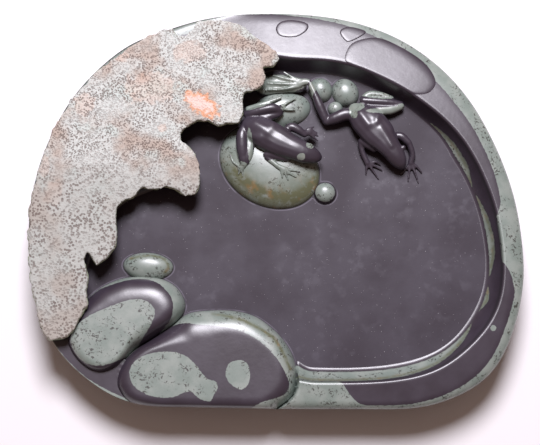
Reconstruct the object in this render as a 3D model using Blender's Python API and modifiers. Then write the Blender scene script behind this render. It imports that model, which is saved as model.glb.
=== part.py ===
"""A carved inkstone: a flat slab of layered stone with a raised rim round a shallow grinding well, a lotus leaf
of natural rind hanging over one side, and boulders, pebbles and two frogs carved inside.

Metres, +Z up. The origin is under the middle of the slab, on the surface that it stands on.
Plan shapes are written in millimetres, as (x, y) points read off the stone, and scaled once by MM.
"""

import math

import bmesh
import bpy
import numpy as np
from mathutils import Matrix, Vector

MM = 0.001
MIDDLE = (-0.1, 1.2)  # middle of the slab's outline, in millimetres, which is put over the origin

# Driving heights of the stone, in millimetres above the table.
FLOOR_Z = 20.0  # grinding floor of the well
GIRTH_Z = 26.3  # widest level of the outer side
RIM_Z = 31.2  # top of the rim
LEAF_THICK = 3.8
GAP = 0.3  # clear space kept between neighbouring solids
SEAT_Z = FLOOR_Z + GAP  # underside of everything that stands on the slab
LEAF_Z = RIM_Z + GAP

# How far the outer side draws in below and above its widest level.
SIDE_INSETS = [(0.0, 8.5), (2.5, 6.0), (9.0, 3.4), (FLOOR_Z, 0.9)]
ROUNDS = 96  # points round the slab

# Widest outline of the slab.
OUTLINE = [
    (-129.5, -22.5), (-129.5, -1.5), (-126.5, 18.5), (-119.5, 39.5), (-109.5, 59), (-95.5, 76), (-78.5, 90),
    (-59, 98), (-40, 104), (-20, 107), (0, 107.5), (20, 106.5), (41, 103), (62, 95.5), (78.5, 85.5),
    (94, 71.5), (106.5, 54.5), (115.5, 36.5), (121.5, 21), (126.5, 2.5), (129, -17.5), (129.5, -35.5),
    (127, -51.5), (122, -67.5), (115.5, -81), (106.5, -91), (94.5, -98), (80.5, -103), (66.5, -105),
    (40, -105), (10, -105), (-20, -104.5), (-46, -104), (-66, -103.5), (-82.5, -99), (-97.5, -89.5),
    (-109.5, -78.5), (-117.5, -67), (-123, -54.5), (-127.5, -37.5),
]  # fmt: skip

# Inner top edge of the rim, and the foot of the well's wall inside it.
RIM_EDGE = [
    (-4, 81.5), (8, 80), (24, 79.5), (37.5, 77.5), (50.5, 72.5), (66.5, 64.5), (76.5, 57.5), (87.5, 48.5),
    (97.5, 37.5), (105, 25), (111, 11), (115, -2), (117, -15), (118, -27), (117.5, -39.5), (115.5, -49.5),
    (111, -59.5), (105, -67.5), (96.5, -75.5), (88.5, -81.5), (78.5, -86.5), (66.5, -89.5), (52.5, -91),
    (38.5, -91.5), (24, -91.5), (10, -91.5), (-20, -91.5), (-50.5, -89.5), (-80.5, -79.5), (-100.5, -65.5),
    (-106.5, -51.5), (-105.5, -37.5), (-101.5, -24), (-95.5, -10), (-88.5, 5), (-73.5, 14), (-58.5, 18),
    (-60.5, 32), (-56.5, 46.5), (-38, 57.5), (-22, 69.5),
]  # fmt: skip
WALL_FOOT = [
    (-4, 78), (8, 77), (24, 76.4), (36, 74), (49, 69), (64, 61), (75, 53.5), (85, 44), (94, 33), (101.5, 20),
    (107, 7), (110, -4), (112, -16), (113, -28), (111.5, -41), (108, -51), (102, -61), (95, -69.5), (87, -75.5),
    (78, -79.5), (67, -82.5), (54, -84.5), (38, -85.5), (24, -85.5), (10, -85), (-20, -84), (-50, -82),
    (-78, -73), (-96, -60), (-103, -48), (-102, -36), (-99, -24), (-93, -10), (-87, 1), (-72, 10), (-55, 14.5),
    (-57.5, 31), (-54, 43), (-37, 53.5), (-21, 66),
]  # fmt: skip

# Width of the sloping shoulder outside the rim's top, by compass angle in degrees.
SHOULDER = [
    (0, 8), (10, 6.5), (20, 7), (30, 9), (45, 8), (60, 6), (72, 4.5), (100, 4), (120, 2.5), (180, 1.6), (225, 9),
    (250, 2), (300, 2), (310, 3), (320, 4.4), (330, 5), (345, 6.5), (353, 9),
]  # fmt: skip

# The lotus leaf: its torn inner edge, then its plain outer edge along the stone's side.
LEAF_EDGE = [
    (-37.5, 101), (-28, 101), (-20, 99), (-15, 95.5), (-10, 91), (-4, 87), (1, 83), (2, 79), (-2, 75.5),
    (-7, 74.5), (-5, 69.5), (-7, 64), (-12, 62), (-17, 61), (-17.5, 54), (-17, 49), (-20, 44), (-26, 44),
    (-30.5, 42.5), (-35.5, 45), (-41.5, 45.5), (-46.5, 42.5), (-50.5, 38.5), (-50.5, 35), (-46.5, 32.5),
    (-43, 28.5), (-40.5, 22.5), (-39.5, 15.5), (-40, 9.5), (-42.5, 5.5), (-47.5, 5), (-52.5, 8.5), (-57.5, 10),
    (-62.5, 8), (-70.5, 9.5), (-73.5, 4.5), (-80.5, 1.5), (-83.5, -2.5), (-82.5, -12), (-83, -21), (-87, -28),
    (-93, -32), (-95, -27.5), (-98, -25), (-99.5, -29), (-97, -36), (-97.5, -45), (-97, -53), (-100.5, -59),
    (-103, -65.5), (-108, -69.5), (-115, -70.5), (-119, -64.5), (-121, -58), (-123, -51), (-126, -39),
    (-128, -22), (-128, -2.5), (-124.5, 17), (-118, 38), (-108, 57), (-93.5, 73.5), (-76.5, 87), (-66, 93),
    (-55.5, 96.5), (-53.5, 93), (-48.5, 92), (-44.5, 95), (-42.5, 99.5),
]  # fmt: skip

# Boulders and pebbles that stand on the floor: centre, half axes, turn in degrees, top height and squareness.
STONES = {
    "corner_boulder": [((-80.5, -61.5), (31.5, 18.5), 35, 33, 2.5), ((-75.5, -59.5), (31, 22.5), 35, 25.2, 2.4)],
    "front_boulder": [((-37, -89.5), (48, 27.5), -7, 32.6, 2.5), ((-34.5, -86), (48, 31.5), -7, 24.9, 2.4)],
    "oval_pebble": [((-67, -30.5), (14, 8.2), -4, 25.6, 2.2)],
    "frog_boulder": [((-2.5, 25), (28.5, 22), -30, 28, 2.3)],
    "back_boulder": [((4, 55.5), (16, 10.5), 8, 26.3, 2.2)],
    "pearl_pebble": [((26.5, 9.5), (6.4, 6.4), 0, 24.8, 2.2)],
    "back_pebble_left": [((24.5, 66.5), (6.6, 7.2), 20, 25.9, 2.1)],
    "back_pebble_right": [((38, 65), (7.4, 8.4), 25, 25.9, 2.2)],
    "back_pebble_small": [((32.5, 56), (4.4, 4.4), 0, 24.1, 2.1)],
}  # fmt: skip

# Pebbles carved in low relief in the rim: centre, half axes and turn in degrees.
RIM_PEBBLES = {
    "rim_pebble_large": ((62.5, 77), (26.5, 11.5), -28),
    "rim_pebble_middle": ((42, 93.5), (8.5, 5), -14),
    "rim_pebble_left": ((9, 98), (9.3, 5.2), 10),
}
RELIEF = 0.8  # how far a rim pebble stands out
POCKET_Z = 27.5  # floor of its pocket

# Each frog: its spine and limbs as (x, y, z, radius) stations.
FROG_RIGHT = [
    [(43, 51.5, 26, 4.6), (48.5, 46, 27.5, 7.8), (54, 39.5, 28, 8), (59.5, 33, 28, 6.2), (63.5, 28, 27.5, 5.4),
     (66.5, 24.5, 26.3, 3.4)],
    [(42, 50.5, 26, 4), (34, 47.5, 26, 3.8), (27, 45.5, 25.5, 3), (23, 56.5, 28, 2.5), (19, 67, 30, 2),
     (12, 68.5, 30.3, 1.8)],
    [(12, 68.5, 30.3, 1.6), (4, 72, 30.3, 1.1), (-3, 74.5, 29.6, 0.9)],
    [(12, 68.5, 30.3, 1.6), (3, 69, 30.5, 1.1), (-6, 70, 29.6, 0.9)],
    [(12, 68.5, 30.3, 1.6), (3, 66, 30.2, 1.1), (-6, 65.5, 29, 0.9)],
    [(45, 54.5, 26, 3.6), (56, 55, 25, 3.4), (65, 56, 24, 2.6), (56, 58.5, 24.5, 2.4), (48, 59.5, 24.5, 2)],
    [(55, 34.5, 26, 3.4), (46.5, 36.5, 24.5, 2.8), (48, 29.5, 23.4, 2.1), (49.5, 22.5, 21.8, 1.7),
     (47, 17, 21.2, 1)],
    [(49.5, 22.5, 21.8, 1.7), (51.5, 17, 21.2, 1)],
    [(49.5, 22.5, 21.8, 1.7), (55, 16, 21.2, 1)],
    [(62, 38.5, 26, 3.4), (70.5, 36.5, 24.8, 2.6), (72, 29.5, 23.4, 2), (72.5, 23, 21.8, 1.7),
     (71.5, 15.5, 21.2, 1)],
    [(72.5, 23, 21.8, 1.7), (67, 18.5, 21.2, 1)],
    [(72.5, 23, 21.8, 1.7), (77, 14, 21.2, 1)],
    [(59.5, 29.5, 32, 2)],
    [(67, 32.5, 31.6, 2)],
]  # fmt: skip
FROG_LEFT = [
    [(-14, 42, 32.3, 4.6), (-8, 39.5, 33.8, 7), (0, 35.5, 34.2, 7.2), (8, 32, 34, 6.2),
     (14.5, 29.5, 33.4, 5.5), (20, 26.5, 31.6, 3.6)],
    [(-15, 40, 31, 3.8), (-17.5, 32, 30.4, 3.5), (-18, 24, 28, 2.4), (-18.5, 17.5, 25.6, 1.1)],
    [(-15, 44, 30.5, 3.6), (-7, 50, 30, 3.4), (1.5, 53.5, 29.8, 2.6), (11, 59.5, 29, 1)],
    [(1.5, 53.5, 29.8, 2), (10.5, 55, 28.8, 1)],
    [(7, 28, 31.5, 3), (-4, 28.5, 32, 2.8), (3, 22.5, 31, 1.9), (4, 15.5, 29, 1)],
    [(3, 22.5, 31, 1.9), (9, 15, 28.2, 1)],
    [(12, 36, 31, 3), (5, 45, 29.6, 3.2), (13, 41, 29, 2.2), (18, 41, 28, 1.6), (22, 43, 27, 1)],
    [(18, 41, 28, 1.6), (22.5, 39, 27, 1)],
    [(10.5, 25, 36.6, 1.9)],
    [(14.5, 34.5, 36.6, 1.9)],
]  # fmt: skip
FROG_FLAT = 0.7  # the frogs are this much flatter than the round stations above the floor
FROG_VOXEL = 0.9
FROG_KEEP = 0.17  # share of the voxel surface's triangles that is kept

STONE_LOOKS = {  # base colour and roughness of the stone's layers
    "plum_stone": ((0.075, 0.06, 0.085), 0.42),
    "green_stone": ((0.27, 0.32, 0.28), 0.45),
    "leaf_rind": ((0.45, 0.41, 0.37), 0.75),
}


def clear_scene():
    for obj in list(bpy.data.objects):
        bpy.data.objects.remove(obj, do_unlink=True)


def collection(name):
    made = bpy.data.collections.new(name)
    bpy.context.scene.collection.children.link(made)
    return made


def stone_material(name):
    colour, roughness = STONE_LOOKS[name]
    made = bpy.data.materials.new(name)
    made.use_nodes = True
    shader = made.node_tree.nodes["Principled BSDF"]
    shader.inputs["Base Color"].default_value = (*colour, 1.0)
    shader.inputs["Roughness"].default_value = roughness
    shader.inputs["Metallic"].default_value = 0.0
    return made


def add_object(name, bm, place):
    """The bmesh as an object in the collection, centred, scaled from millimetres and with its faces out."""
    bmesh.ops.translate(bm, vec=Vector((-MIDDLE[0], -MIDDLE[1], 0)), verts=bm.verts)
    bmesh.ops.scale(bm, vec=Vector((MM, MM, MM)), verts=bm.verts)
    bmesh.ops.recalc_face_normals(bm, faces=bm.faces)
    mesh = bpy.data.meshes.new(name)
    bm.to_mesh(mesh)
    bm.free()
    obj = bpy.data.objects.new(name, mesh)
    place.objects.link(obj)
    return obj


def smooth_loop(points, per_span=8):
    """A closed Catmull-Rom curve through the points."""
    knots = np.array(points, float)
    before, after = np.roll(knots, 1, 0), np.roll(knots, -1, 0)
    beyond = np.roll(knots, -2, 0)
    made = []
    for t in np.arange(per_span) / per_span:
        made.append(
            0.5
            * (
                2 * knots
                + (after - before) * t
                + (2 * before - 5 * knots + 4 * after - beyond) * t**2
                + (3 * knots - before - 3 * after + beyond) * t**3
            )
        )
    return np.stack(made, 1).reshape(-1, 2)


def radii_of(points, angles):
    """Distance from the slab's centre to the outline at each angle."""
    loop = smooth_loop(points)
    turn = np.unwrap(np.arctan2(loop[:, 1], loop[:, 0]))
    radius = np.hypot(loop[:, 0], loop[:, 1])
    order = np.argsort(turn)
    return np.interp(angles, turn[order], radius[order], period=2 * math.pi)


def angles_round():
    return np.arange(ROUNDS) * 2 * math.pi / ROUNDS


def ring(radii, z):
    turn = angles_round()
    return [(r * math.cos(a), r * math.sin(a), z) for r, a in zip(radii, turn)]


def loft(bm, rings, closed):
    """Quads between neighbouring rings: a tube that closes on itself, or one with both ends capped."""
    loops = [[bm.verts.new(p) for p in points] for points in rings]
    pairs = list(zip(loops, loops[1:] + loops[:1])) if closed else list(zip(loops, loops[1:]))
    for low, high in pairs:
        for i in range(len(low)):
            j = (i + 1) % len(low)
            bm.faces.new((low[i], low[j], high[j], high[i]))
    if not closed:
        bm.faces.new(list(reversed(loops[0])))
        bm.faces.new(loops[-1])


def shoulder_width():
    turn, width = np.array(SHOULDER, float).T
    return np.interp(np.degrees(angles_round()), turn, width, period=360)


def base_slab(place):
    """The lower layer: it draws in towards the table, and its flat top is the grinding floor."""
    side = radii_of(OUTLINE, angles_round())
    bm = bmesh.new()
    loft(bm, [ring(side - inset, z) for z, inset in SIDE_INSETS], closed=False)
    return add_object("base_slab", bm, place)


def rim_rings(lift=0.0):
    """Cross-section of the rim at every angle, from its outer foot over the top to the foot of the well's wall."""
    turn = angles_round()
    side = radii_of(OUTLINE, turn)
    edge, foot = radii_of(RIM_EDGE, turn), radii_of(WALL_FOOT, turn)
    shoulder = shoulder_width()
    slope = np.clip(shoulder / 4, 0.8, 2.2)
    return [
        ring(side - 0.9 + lift, SEAT_Z),
        ring(side + lift, GIRTH_Z),
        ring(side - 0.45 * shoulder, GIRTH_Z + 2.6 + lift),
        ring(side - shoulder, RIM_Z - 0.9 + lift),
        ring(side - shoulder - slope, RIM_Z + lift),
        ring(np.minimum(edge + 2.0, side - shoulder - slope - 1), RIM_Z + lift),
        ring(edge, RIM_Z - 1.0 + lift),
        ring(foot + 0.35 * (edge - foot), FLOOR_Z + 3.5),
        ring(foot, SEAT_Z),
    ]


def rim_band(name, place, lift=0.0):
    bm = bmesh.new()
    loft(bm, rim_rings(lift), closed=True)
    return add_object(name, bm, place)


def envelope(place):
    """The slab's outer side carried up past everything, which trims the boulders that stand at the edge."""
    side = radii_of(OUTLINE, angles_round())
    levels = [(SEAT_Z, 0.9), (GIRTH_Z, 0.0), (GIRTH_Z + 3.5, 0.8), (GIRTH_Z + 6.5, 3.0), (GIRTH_Z + 14, 9.0)]
    bm = bmesh.new()
    loft(bm, [ring(side - inset, z) for z, inset in levels], closed=False)
    return hidden(add_object("envelope", bm, place))


def hidden(obj):
    obj.hide_render = True
    obj.display_type = "WIRE"
    return obj


def boulder_lump(bm, centre, half, turn, top, squareness, grow=0.0, segments=32, rings=16):
    """One rounded boulder: a sphere pushed out towards a box, stretched, turned and sunk to the floor."""
    sink = 3.0  # centre below the floor, so that the sides rise steeply from it
    made = bmesh.ops.create_uvsphere(bm, u_segments=segments, v_segments=rings, radius=1.0)
    height = top - FLOOR_Z + sink
    spin = Matrix.Rotation(math.radians(turn), 3, "Z")
    for vert in made["verts"]:
        flat = math.hypot(vert.co.x, vert.co.y)
        push = (flat**squareness + abs(vert.co.z) ** squareness) ** (-1 / squareness)
        point = vert.co * push
        point = Vector((point.x * (half[0] + grow), point.y * (half[1] + grow), point.z * (height + grow)))
        vert.co = spin @ point + Vector((*centre, FLOOR_Z - sink))


def boulder(name, place, grow=0.0):
    """A boulder's dome and, for a large one, the wider skirt at its foot, joined into one solid."""
    parts = []
    for i, lump in enumerate(STONES[name]):
        bm = bmesh.new()
        boulder_lump(bm, *lump, grow=grow)
        parts.append(add_object(name if i == 0 else f"{name}_skirt", bm, place))
    if len(parts) > 1:
        boolean(parts[0], "UNION", hidden(parts[1]))
    return parts[0]


def boolean(obj, operation, other):
    made = obj.modifiers.new(f"{operation.lower()}_{other.name}", "BOOLEAN")
    made.operation = operation
    made.solver = "EXACT"
    made.object = other


def prism(name, place, points, low, high):
    """An upright solid with this plan outline, from a filled 2D curve made into a mesh."""
    curve = bpy.data.curves.new(name, "CURVE")
    curve.dimensions = "2D"
    curve.fill_mode = "BOTH"
    curve.extrude = (high - low) / 2 * MM
    spline = curve.splines.new("POLY")
    spline.points.add(len(points) - 1)
    for knot, (x, y) in zip(spline.points, points):
        knot.co = ((x - MIDDLE[0]) * MM, (y - MIDDLE[1]) * MM, 0, 1)
    spline.use_cyclic_u = True
    shape = bpy.data.objects.new(name + "_curve", curve)
    place.objects.link(shape)
    shape.location.z = (low + high) / 2 * MM
    bpy.context.view_layer.update()
    graph = bpy.context.evaluated_depsgraph_get()
    mesh = bpy.data.meshes.new_from_object(shape.evaluated_get(graph))
    bm = bmesh.new()
    bm.from_mesh(mesh)
    bmesh.ops.remove_doubles(bm, verts=bm.verts, dist=1e-6)
    bmesh.ops.recalc_face_normals(bm, faces=bm.faces)
    bm.to_mesh(mesh)
    bm.free()
    made = bpy.data.objects.new(name, mesh)
    made.matrix_world = shape.matrix_world.copy()
    place.objects.link(made)
    bpy.data.objects.remove(shape)
    return made


def oval(centre, half, turn, points=28):
    spin = math.radians(turn)
    made = []
    for i in range(points):
        a = 2 * math.pi * i / points
        x, y = half[0] * math.cos(a), half[1] * math.sin(a)
        made.append((centre[0] + x * math.cos(spin) - y * math.sin(spin),
                     centre[1] + x * math.sin(spin) + y * math.cos(spin)))  # fmt: skip
    return made


def grown_oval(centre, half, turn, grow):
    return oval(centre, (half[0] + grow, half[1] + grow), turn)


def lotus_leaf(place):
    made = prism("lotus_leaf", place, LEAF_EDGE, LEAF_Z, LEAF_Z + LEAF_THICK)
    edge = made.modifiers.new("rounded_edge", "BEVEL")
    edge.width = 1.0 * MM
    edge.segments = 2
    edge.limit_method = "ANGLE"
    edge.angle_limit = math.radians(60)
    return made


def rim_pebble(name, place, cutters):
    """A pebble of the rim: a copy of the rim raised a little, kept only inside the pebble's oval."""
    made = rim_band(name, place, lift=RELIEF)
    plan = RIM_PEBBLES[name]
    boolean(made, "INTERSECT", hidden(prism(f"{name}_keep", cutters, oval(*plan), POCKET_Z, RIM_Z + 9)))
    return made


def limb(bm, stations):
    """A run of balls joined by tapering rods: a spine, a leg, a toe or, with one station, an eye."""
    for x, y, z, radius in stations:
        bmesh.ops.create_uvsphere(
            bm, u_segments=16, v_segments=10, radius=radius, matrix=Matrix.Translation((x, y, z))
        )
    for near, far in zip(stations, stations[1:]):
        start, end = Vector(near[:3]), Vector(far[:3])
        run = end - start
        turn = run.to_track_quat("Z", "Y").to_matrix().to_4x4()
        bmesh.ops.create_cone(
            bm, cap_ends=True, segments=16, radius1=near[3], radius2=far[3], depth=run.length,
            matrix=Matrix.Translation((start + end) / 2) @ turn,
        )  # fmt: skip


def frog(name, place, limbs):
    bm = bmesh.new()
    for stations in limbs:
        limb(bm, stations)
    bmesh.ops.scale(bm, vec=(1, 1, FROG_FLAT), space=Matrix.Translation((0, 0, -FLOOR_Z)), verts=bm.verts)
    made = add_object(name, bm, place)
    skin = made.modifiers.new("skin", "REMESH")
    skin.mode = "VOXEL"
    skin.voxel_size = FROG_VOXEL * MM
    soften = made.modifiers.new("soften", "SMOOTH")
    soften.factor = 0.5
    soften.iterations = 2
    fewer = made.modifiers.new("fewer", "DECIMATE")
    fewer.ratio = FROG_KEEP
    return made


def half_plane(name, place, corners):
    return hidden(prism(name, place, corners, FLOOR_Z - 5, RIM_Z + 10))


def main():
    clear_scene()
    stone = collection("inkstone")
    cutters = collection("cutters")
    plum, green, rind = (stone_material(n) for n in STONE_LOOKS)
    outside = envelope(cutters)
    grown = {name: hidden(boulder(name, cutters, grow=GAP)) for name in STONES}
    for name, cutter in grown.items():
        cutter.name = f"{name}_clearance"

    slab = base_slab(stone)

    # The rim is parted under the leaf: a plain bank carries the leaf, and the moulded rim runs on round the well.
    part_line = [(-200, 0), (-200, -200), (-40, -200), (-40, -60), (-20, 60), (-20, 200), (-200, 200)]
    part_line_grown = [(x + (GAP if x > -200 else 0), y) for x, y in part_line]
    bank_side = half_plane("bank_side", cutters, part_line)
    rim_side = half_plane("bank_side_grown", cutters, part_line_grown)
    bank = rim_band("leaf_bank", stone)
    boolean(bank, "INTERSECT", bank_side)
    rim = rim_band("rim_wall", stone)
    boolean(rim, "DIFFERENCE", rim_side)

    boulders = {name: boulder(name, stone) for name in STONES}
    for made in boulders.values():
        boolean(made, "INTERSECT", outside)
    for name in ("corner_boulder", "front_boulder"):
        for i, (centre, half, turn, _top, _squareness) in enumerate(STONES[name]):
            plan = grown_oval(centre, half, turn, 2 * GAP)
            seat = hidden(prism(f"{name}_seat_{i}", cutters, plan, 0, RIM_Z + 12))
            for raised in (bank, rim):
                boolean(raised, "DIFFERENCE", seat)
    fitted = [
        ("front_boulder", "corner_boulder"),
        ("oval_pebble", "corner_boulder"),
        ("back_boulder", "frog_boulder"),
        ("pearl_pebble", "frog_boulder"),
        ("back_pebble_right", "back_pebble_left"),
        ("back_pebble_small", "back_pebble_left"),
        ("back_pebble_small", "back_pebble_right"),
    ]
    for name, neighbour in fitted:
        boolean(boulders[name], "DIFFERENCE", grown[neighbour])

    leaf = lotus_leaf(stone)
    boolean(leaf, "DIFFERENCE", grown["corner_boulder"])

    pebbles = []
    for name, plan in RIM_PEBBLES.items():
        pocket = hidden(prism(f"{name}_pocket", cutters, grown_oval(*plan, GAP), POCKET_Z - GAP, RIM_Z + 12))
        boolean(rim, "DIFFERENCE", pocket)
        made = rim_pebble(name, stone, cutters)
        if name == "rim_pebble_middle":
            large = grown_oval(*RIM_PEBBLES["rim_pebble_large"], GAP)
            boolean(made, "DIFFERENCE", hidden(prism("large_clearance", cutters, large, 0, RIM_Z + 12)))
        pebbles.append(made)

    frog_left = frog("frog_left", stone, FROG_LEFT)
    frog_right = frog("frog_right", stone, FROG_RIGHT)
    boolean(frog_left, "DIFFERENCE", grown["frog_boulder"])
    boolean(frog_left, "DIFFERENCE", grown["back_boulder"])
    for name in ("back_boulder", "back_pebble_left", "back_pebble_right", "back_pebble_small"):
        boolean(frog_right, "DIFFERENCE", grown[name])
    for made in (frog_left, frog_right):
        boolean(made, "INTERSECT", outside)

    green_ones = set(STONES) - {"corner_boulder", "front_boulder"}
    for made in (slab, bank, rim, frog_left, frog_right, *pebbles, boulders["corner_boulder"],
                 boulders["front_boulder"]):  # fmt: skip
        made.data.materials.append(plum)
    for name in green_ones:
        boulders[name].data.materials.append(green)
    leaf.data.materials.append(rind)


main()
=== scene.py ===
# %% [markdown]
# # A carved inkstone, look by look
# An inkstone is a slab of fine slate on which a stick of ink is rubbed with a little water. This one is cut
# from a stone with plum-coloured and grey-green layers, and the carver has used both: the plum layers are the
# floor, the rim and two frogs, and the green ones show as pebbles and islands. The slab's natural crust is
# left on one side as a lotus leaf.
#
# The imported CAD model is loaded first. It says where every carved body is, and each piece made below stands
# for one CAD node and rides on the same body.

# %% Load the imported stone
import math

import bmesh
import bpy
import numpy as np
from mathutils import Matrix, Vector
from mathutils.bvhtree import BVHTree


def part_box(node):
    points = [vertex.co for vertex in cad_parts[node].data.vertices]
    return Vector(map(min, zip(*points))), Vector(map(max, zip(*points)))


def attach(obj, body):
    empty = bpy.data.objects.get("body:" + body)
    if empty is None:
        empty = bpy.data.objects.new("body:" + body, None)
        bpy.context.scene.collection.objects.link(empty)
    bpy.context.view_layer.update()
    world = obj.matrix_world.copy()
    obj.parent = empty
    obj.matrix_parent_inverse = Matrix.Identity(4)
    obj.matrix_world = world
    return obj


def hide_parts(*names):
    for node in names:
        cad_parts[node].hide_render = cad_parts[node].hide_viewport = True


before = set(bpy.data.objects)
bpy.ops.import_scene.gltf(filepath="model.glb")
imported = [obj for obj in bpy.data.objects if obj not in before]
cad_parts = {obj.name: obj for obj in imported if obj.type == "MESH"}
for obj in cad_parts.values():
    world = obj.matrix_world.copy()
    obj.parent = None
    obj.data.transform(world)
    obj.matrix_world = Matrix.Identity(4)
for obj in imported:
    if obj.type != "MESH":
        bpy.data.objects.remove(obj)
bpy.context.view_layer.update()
MM = 0.001

# %% [markdown]
# # Camera and light
# The stone lies flat and is looked at almost straight down, from the side where a person would sit. A long
# lens keeps the slab's outline true. One softbox stands beyond the back rim and reaches over it, so that
# polished edges that face it shine, and everything that overhangs throws a short soft shadow towards the
# viewer. The room gives back only a little warm light.

# %% Camera and softbox
AIM = Vector((-0.0029, -0.0097, 0.030))
VIEW_TILT = math.radians(79)
VIEW_DISTANCE = 0.70

camera = bpy.data.objects.new("camera", bpy.data.cameras.new("camera"))
bpy.context.scene.collection.objects.link(camera)
camera.location = AIM + VIEW_DISTANCE * Vector((0, -math.cos(VIEW_TILT), math.sin(VIEW_TILT)))
camera.rotation_euler = (math.pi / 2 - VIEW_TILT, 0, 0)
camera.data.lens = 89.18
camera.data.sensor_width = 36
bpy.context.scene.camera = camera

LIGHT_TILT = math.radians(30)
LIGHT_DISTANCE = 1.2
softbox = bpy.data.objects.new("softbox", bpy.data.lights.new("softbox", "AREA"))
bpy.context.scene.collection.objects.link(softbox)
softbox.location = AIM + LIGHT_DISTANCE * Vector((0, math.sin(LIGHT_TILT), math.cos(LIGHT_TILT)))
softbox.rotation_euler = (-LIGHT_TILT, 0, 0)
softbox.data.shape = "DISK"
softbox.data.size = 0.50
softbox.data.energy = 21.0
softbox.data.color = (1.0, 0.975, 1.055)

world = bpy.data.worlds.new("room")
bpy.context.scene.world = world
world.use_nodes = True
world.node_tree.nodes["Background"].inputs["Color"].default_value = (0.185, 0.128, 0.106, 1)
world.node_tree.nodes["Background"].inputs["Strength"].default_value = 1.0
bpy.context.scene.view_settings.view_transform = "Standard"

# %% [markdown]
# # Writing materials as arithmetic
# Blender's materials are graphs of nodes. Wiring them one by one is long to read, so one small class wraps a
# socket and lets Python's operators add the Math nodes. Every other node comes from its `node` method.

# %% A socket that does arithmetic
class Wire:
    """An output socket of a node tree. Arithmetic on it adds Math nodes."""

    def __init__(self, tree, socket=None):
        self.tree = tree
        self.socket = socket

    def node(self, kind, settings=None, values=None, output=0):
        """A new node with its settings set first, then the values or links of its sockets."""
        made = self.tree.nodes.new(kind)
        for name, value in (settings or {}).items():
            setattr(made, name, value)
        for name, value in (values or {}).items():
            if isinstance(value, Wire):
                self.tree.links.new(value.socket, made.inputs[name])
            else:
                made.inputs[name].default_value = value
        return Wire(self.tree, made.outputs[output])

    def maths(self, operation, first, second):
        return self.node("ShaderNodeMath", {"operation": operation}, {0: first, 1: second})

    def __add__(self, other):
        return self.maths("ADD", self, other)

    def __radd__(self, other):
        return self.maths("ADD", other, self)

    def __sub__(self, other):
        return self.maths("SUBTRACT", self, other)

    def __rsub__(self, other):
        return self.maths("SUBTRACT", other, self)

    def __mul__(self, other):
        return self.maths("MULTIPLY", self, other)

    def __rmul__(self, other):
        return self.maths("MULTIPLY", other, self)

    def ramp(self, low, high):
        """0 below low, 1 above high, and smooth between; low may be the larger."""
        return self.node("ShaderNodeMapRange", {"interpolation_type": "SMOOTHSTEP"},
                         {"Value": self, "From Min": low, "From Max": high})  # fmt: skip

    def grain(self, size, detail=2.0, stretch=None, twist=0.0):
        """Noise from 0 to 1 whose lumps measure about size millimetres."""
        place = self
        if stretch:
            place = self.node("ShaderNodeMapping", None, {"Vector": self, "Scale": stretch})
        return self.node("ShaderNodeTexNoise", {"noise_dimensions": "3D"},
                         {"Vector": place, "Scale": 1 / (size * MM), "Detail": detail,
                          "Distortion": twist})  # fmt: skip

    def mark(self, name):
        """A number stored on the mesh's points."""
        return self.node("ShaderNodeAttribute", {"attribute_name": name}, output=2)


def tint(red, green, blue):
    """A screen colour from 0 to 255 as the linear colour that nodes take."""
    linear = [((v / 255 + 0.055) / 1.055) ** 2.4 if v > 10 else v / 255 / 12.92 for v in (red, green, blue)]
    return (*linear, 1.0)


def mix(wire, first, second, amount, how="MIX"):
    """The first colour turned into the second by an amount from 0 to 1."""
    settings = {"data_type": "RGBA", "blend_type": how}
    return wire.node("ShaderNodeMix", settings, {0: amount, 6: first, 7: second}, output=2)


def finish(name, shade):
    """A material whose Principled shader gets what shade(places) returns, by socket name."""
    made = bpy.data.materials.new(name)
    made.use_nodes = True
    start = Wire(made.node_tree)
    places = start.node("ShaderNodeTexCoord", output=3)
    shader = made.node_tree.nodes["Principled BSDF"]
    for socket, value in shade(places).items():
        if isinstance(value, Wire):
            made.node_tree.links.new(value.socket, shader.inputs[socket])
        else:
            shader.inputs[socket].default_value = value
    return made


def relief(places, height, depth):
    """A bump whose height of 1 stands depth millimetres proud."""
    return places.node("ShaderNodeBump", None, {"Strength": 1.0, "Distance": depth * MM, "Height": height})


# %% [markdown]
# # The polished stone
# The plum and green layers meet in crisp wandering lines, because they are layers in the rock that the carving
# cuts at different heights. A painted image would blur there. Instead each mesh stores, on its points, how
# many millimetres inside the green layer the point is. The material turns that distance into a sharp line and
# roughens it with a little noise. A second number marks rusty ochre veins. A third marks grooves, creases and
# the feet of stones, which are painted dark: painted shade, with some old ink.

# %% Polished stone
PLUM_DARK = (0.034, 0.025, 0.036, 1)
PLUM_LIGHT = (0.049, 0.039, 0.054, 1)
GREEN_GREY = (0.205, 0.248, 0.220, 1)
GREEN_PALE = (0.280, 0.315, 0.285, 1)
OLIVE = (0.118, 0.125, 0.070, 1)
RUST = (0.200, 0.140, 0.062, 1)
# Dark colour of grooves, creases and stone feet: painted shade, with some old ink.
INK_AND_SHADE = (0.012, 0.011, 0.013, 1)


def green_layer(places):
    """Base colour of the green layer: cloudy, with short dark pits that come in clusters."""
    cloud = places.grain(9, 3)
    pits = places.grain(1.3, 1.4, twist=0.9).ramp(0.575, 0.62)
    flock = places.grain(8, 2).ramp(0.44, 0.56)
    dust = places.grain(0.35, 1.0).ramp(0.62, 0.75)
    green = mix(places, GREEN_GREY, GREEN_PALE, cloud.ramp(0.35, 0.7))
    green = mix(places, green, (0.09, 0.10, 0.085, 1), dust * 0.35)
    return mix(places, green, (0.034, 0.030, 0.026, 1), pits * flock * 0.85)


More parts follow.
